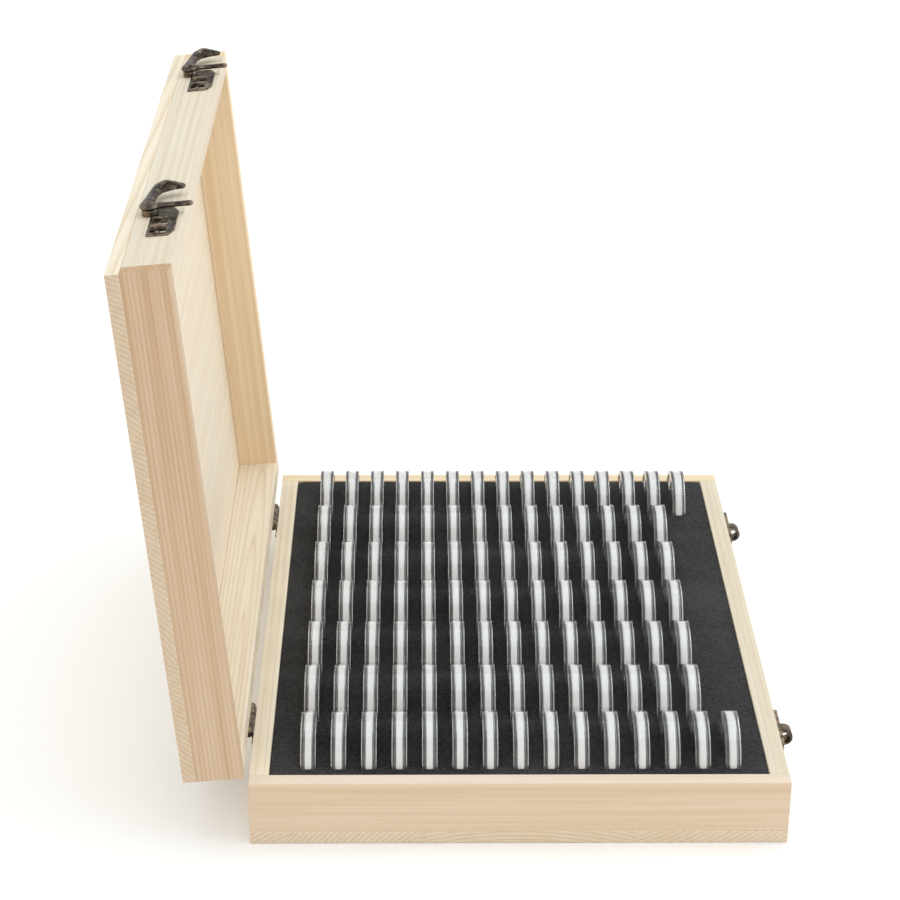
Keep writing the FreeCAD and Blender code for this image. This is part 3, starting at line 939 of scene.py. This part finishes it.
@dataclass
class HookCasting:
    """The shape of the cast hooks: a round hub, an arm with a thick horn, and a finger lever.

    It is shaped in its own space, in millimetres: X outwards, Y to the back and Z up from its pivot, as on a
    shut lid.
    """

    grain: float = 0.3
    balls: int = 7
    ball_steps: tuple[int, int] = (20, 12)
    smoothing: int = 3
    back_face: float = 0.02
    hub: Chain = ((0.0, 0.0, 5.3, 1.25, 1.75), (0.0, 0.0, 3.4, 1.5, 1.75))
    arm: Chain = (
        (1.0, 1.3, 4.0, 1.4, 1.8), (10.0, 0.4, 3.2, 1.5, 2.0), (18.5, -1.2, 3.0, 1.9, 2.3),
        (24.4, -3.2, 3.7, 2.4, 2.8), (27.2, -6.6, 4.6, 2.7, 3.1), (28.3, -9.8, 3.7, 2.2, 2.4),
        (28.4, -12.8, 2.6, 1.8, 1.9), (28.2, -15.3, 1.9, 1.6, 1.5),
    )
    lever: Chain = (
        (0.0, -2.0, 2.8, 1.3, 1.7), (0.0, -8.0, 2.2, 1.3, 1.5), (0.0, -16.0, 2.0, 1.3, 1.4),
        (0.0, -21.4, 2.1, 1.3, 1.4),
    )
    groove: Chain = (
        (21.2, -6.8, 1.9, 3.4, 2.6), (23.9, -8.9, 2.6, 3.4, 2.8), (25.2, -12.2, 1.9, 3.2, 2.3),
    )
    eye: Chain = ((0.0, -17.8, 0.75, 1.2, 4.0), (0.0, -20.9, 0.75, 1.2, 4.0))

    def chain(self, name: str, *paths: Chain) -> bpy.types.Object:
        """Strings flattened balls along paths and melts them into one closed skin.

        Args:
            name: The working object's name.
            paths: Each a row of (back, up, half width, middle of thickness, half thickness).

        Returns:
            A working object, in millimetres.
        """
        shape = bmesh.new()
        for path in paths:
            for start, end in zip(path, path[1:]):
                for n in range(self.balls + 1):
                    y, z, wide, middle, thick = (a + (b - a) * n / self.balls for a, b in zip(start, end))
                    matrix = Matrix.Translation((middle, y, z)) @ Matrix.Diagonal((thick, wide, wide, 1))
                    bmesh.ops.create_uvsphere(shape, u_segments=self.ball_steps[0],
                                              v_segments=self.ball_steps[1], radius=1.0, matrix=matrix)
        mesh = bpy.data.meshes.new(name)
        shape.to_mesh(mesh)
        shape.free()
        made = bpy.data.objects.new(name, mesh)
        bpy.context.scene.collection.objects.link(made)
        melt = made.modifiers.new("melt", "REMESH")
        melt.mode, melt.voxel_size = "VOXEL", self.grain
        return made

    def cast(self) -> bmesh.types.BMesh:
        """Melts the hook's body, hollows its horn and lever, and smooths it.

        Returns:
            The hook in its own space, in millimetres.
        """
        body = self.chain("working_body", self.hub, self.arm, self.lever)
        hollow = self.chain("working_hollow", self.groove, self.eye)
        carve = body.modifiers.new("carve", "BOOLEAN")
        carve.operation, carve.object, carve.solver = "DIFFERENCE", hollow, "EXACT"
        graph = bpy.context.evaluated_depsgraph_get()
        mesh = bpy.data.meshes.new_from_object(body.evaluated_get(graph))
        shape = bmesh.new()
        shape.from_mesh(mesh)
        for spare in (body, hollow):
            bpy.data.objects.remove(spare)
        bpy.data.meshes.remove(mesh)
        for _ in range(self.smoothing):
            bmesh.ops.smooth_vert(shape, verts=shape.verts[:], factor=0.5, use_axis_x=True,
                                  use_axis_y=True, use_axis_z=True)
        for vert in shape.verts:
            vert.co.x = max(vert.co.x, self.back_face)
        return shape


@dataclass
class SwingLatch:
    """A latch on the lid: an embossed plate, a cast hook with a horn and a lever, and their rivet."""

    side: str
    border: float = 0.9 * MM
    sunk: float = 0.45 * MM
    soft: float = 0.16 * MM
    rivet_steps: int = 28
    rivet: Chain = ((-3.45, 0.0), (-3.45, 1.35), (2.75, 1.35), (2.8, 2.1), (3.15, 2.05), (3.45, 1.6),
                    (3.5, 1.15), (3.2, 0.75), (3.0, 0.0))

    def pivot(self) -> Matrix:
        """Gives the hook's place on the open lid, from its own space in millimetres."""
        joint = Vector(joint_named(f"{self.side}_hook_pivot")["pos_m"])
        return OPEN_LID @ Matrix.Translation(SHUT_LID @ joint) @ Matrix.Scale(MM, 4)

    def build_plate(self, bronze: bpy.types.Material) -> None:
        """Makes the plate, with raised borders round its outline, windows and ribs.

        Args:
            bronze: The metal's finish.
        """
        node = f"{self.side}_latch_plate"
        piece = copy_of(node, f"{node}_cast")
        piece.move(SHUT_LID)
        faces = [face for face in piece.shape.faces if face.normal.x > 0.99]
        level = min(face.calc_center_median().x for face in faces)
        low = [face for face in faces if face.calc_center_median().x < level + 0.2 * MM]
        bmesh.ops.inset_region(piece.shape, faces=low, thickness=self.border, depth=-self.sunk,
                               use_even_offset=True, use_boundary=True)
        piece.soften(self.soft, segments=2, above=30.0)
        piece.move(OPEN_LID)
        piece.finish(bronze, "lid", "bronze", [node])

    def build_rivet(self, bronze: bpy.types.Material) -> None:
        """Makes the rivet, with a dimple in its low head.

        Args:
            bronze: The metal's finish.
        """
        piece = Piece(f"{self.side}_latch_rivet_turned")
        piece.lathe(list(self.rivet), self.rivet_steps)
        piece.move(self.pivot())
        piece.finish(bronze, "lid", "fasteners", [f"{self.side}_latch_rivet"])

    def build(self, casting: bmesh.types.BMesh, bronze: bpy.types.Material) -> None:
        """Makes the latch.

        Args:
            casting: The hook's shape in its own space.
            bronze: The metal's finish.
        """
        self.build_plate(bronze)
        self.build_rivet(bronze)
        node = f"{self.side}_hook"
        piece = Piece(f"{node}_cast", casting.copy())
        piece.move(self.pivot())
        piece.finish(bronze, node, "bronze", [node], smooth=60.0)


# ---------------------------------------------------------------- studio


@dataclass(frozen=True)
class Lamp:
    """A square soft lamp that faces a target."""

    name: str
    spot: tuple[float, float, float]
    target: tuple[float, float, float]
    size: float
    power: float
    colour: Colour

    def hang(self) -> None:
        """Puts the lamp in the scene."""
        lamp = bpy.data.lights.new(self.name, "AREA")
        lamp.shape, lamp.size, lamp.energy, lamp.color = "SQUARE", self.size, self.power, self.colour
        holder = bpy.data.objects.new(self.name, lamp)
        bpy.context.scene.collection.objects.link(holder)
        turn = (Vector(self.spot) - Vector(self.target)).to_track_quat("Z", "Y").to_matrix().to_4x4()
        holder.matrix_world = Matrix.Translation(self.spot) @ turn


@dataclass
class Studio:
    """A pale floor, soft lights and the camera."""

    camera_at: tuple[float, float, float] = (-0.05697, -1.3280, 0.77743)
    pitch: float = 0.441207
    heading: float = 0.015069
    roll: float = 0.0062829
    lens: float = 97.326
    sensor: float = 36.0
    sight: float = 50.0
    floor_size: float = 12.0
    floor_drop: float = 0.3 * MM
    floor_pale: Colour = (0.97, 0.97, 0.97)
    sky: float = 0.98
    sky_colour: Colour = (1.0, 0.995, 0.985)
    lamps: tuple[Lamp, ...] = (
        Lamp("overhead", (0.3, 0.4, 2.9), (0, 0, 0.1), 2.6, 22.0, (0.76, 0.94, 1.0)),
        Lamp("front", (0.1, -2.6, 0.9), (-0.05, 0, 0.15), 1.8, 5.0, (1.0, 0.86, 0.72)),
        Lamp("right", (2.6, -0.6, 0.7), (-0.1, 0, 0.1), 1.6, 16.0, (0.95, 0.98, 1.0)),
    )

    def build(self) -> None:
        """Sets up the floor, the lights and the camera."""
        self.lay_floor()
        self.light()
        self.aim_camera()

    def lay_floor(self) -> None:
        """Makes a wide plain floor just under the case."""
        mesh = bpy.data.meshes.new("studio_floor")
        shape = bmesh.new()
        bmesh.ops.create_grid(shape, x_segments=1, y_segments=1, size=self.floor_size)
        shape.to_mesh(mesh)
        shape.free()
        floor = bpy.data.objects.new("studio_floor", mesh)
        bpy.context.scene.collection.objects.link(floor)
        floor.location.z = -self.floor_drop
        graph = Graph("studio_paper")
        mottle = graph.noise(graph.coordinates.outputs["Object"], 3.0)
        colour = graph.ramp(mottle, [(0.3, self.floor_pale), (0.7, tuple(c * 1.01 for c in self.floor_pale))])
        graph.dress(Base_Color=colour, Roughness=0.9)
        graph.shader.inputs["Specular IOR Level"].default_value = 0.1
        mesh.materials.append(graph.material)

    def light(self) -> None:
        """Lights the case from all round, with broad lamps above, in front and on the right."""
        world = bpy.data.worlds.new("studio_sky")
        world.use_nodes = True
        sky = world.node_tree.nodes["Background"]
        sky.inputs["Color"].default_value = (*self.sky_colour, 1.0)
        sky.inputs["Strength"].default_value = self.sky
        bpy.context.scene.world = world
        for lamp in self.lamps:
            lamp.hang()

    def aim_camera(self) -> None:
        """Places the camera in front of the case, above it."""
        ahead = Vector((math.sin(self.heading) * math.cos(self.pitch),
                        math.cos(self.heading) * math.cos(self.pitch), -math.sin(self.pitch)))
        right = Vector((math.cos(self.heading), -math.sin(self.heading), 0.0))
        up = right.cross(ahead)
        lean_right = right * math.cos(self.roll) + up * math.sin(self.roll)
        lean_up = up * math.cos(self.roll) - right * math.sin(self.roll)
        camera = bpy.data.cameras.new("camera")
        camera.lens, camera.sensor_width, camera.clip_end = self.lens, self.sensor, self.sight
        holder = bpy.data.objects.new("camera", camera)
        bpy.context.scene.collection.objects.link(holder)
        turn = Matrix((lean_right, lean_up, -ahead)).transposed().to_4x4()
        holder.matrix_world = Matrix.Translation(self.camera_at) @ turn
        bpy.context.scene.camera = holder
        bpy.context.scene.view_settings.view_transform = "Standard"


def main() -> None:
    """Builds every piece in order."""
    logging.basicConfig(level=logging.INFO, format="%(message)s")
    Studio().build()
    WoodenCase().build()
    bronze = AntiqueBronze().build()
    clear, gasket = ClearPlastic().build(), WhiteGasket().build()
    rows = [CapsuleRow(number, count) for number, count in enumerate(CAPSULES_IN_ROWS, start=1)]
    FoamInsert().build([slot for row in rows for slot in row.slots()], ClosedFoam().build())
    for row in rows:
        row.build(clear, gasket)
    Hardware().build(bronze)
    casting = HookCasting().cast()
    for side in ("front", "back"):
        SwingLatch(side).build(casting, bronze)
    casting.free()


if __name__ == "__main__":
    main()
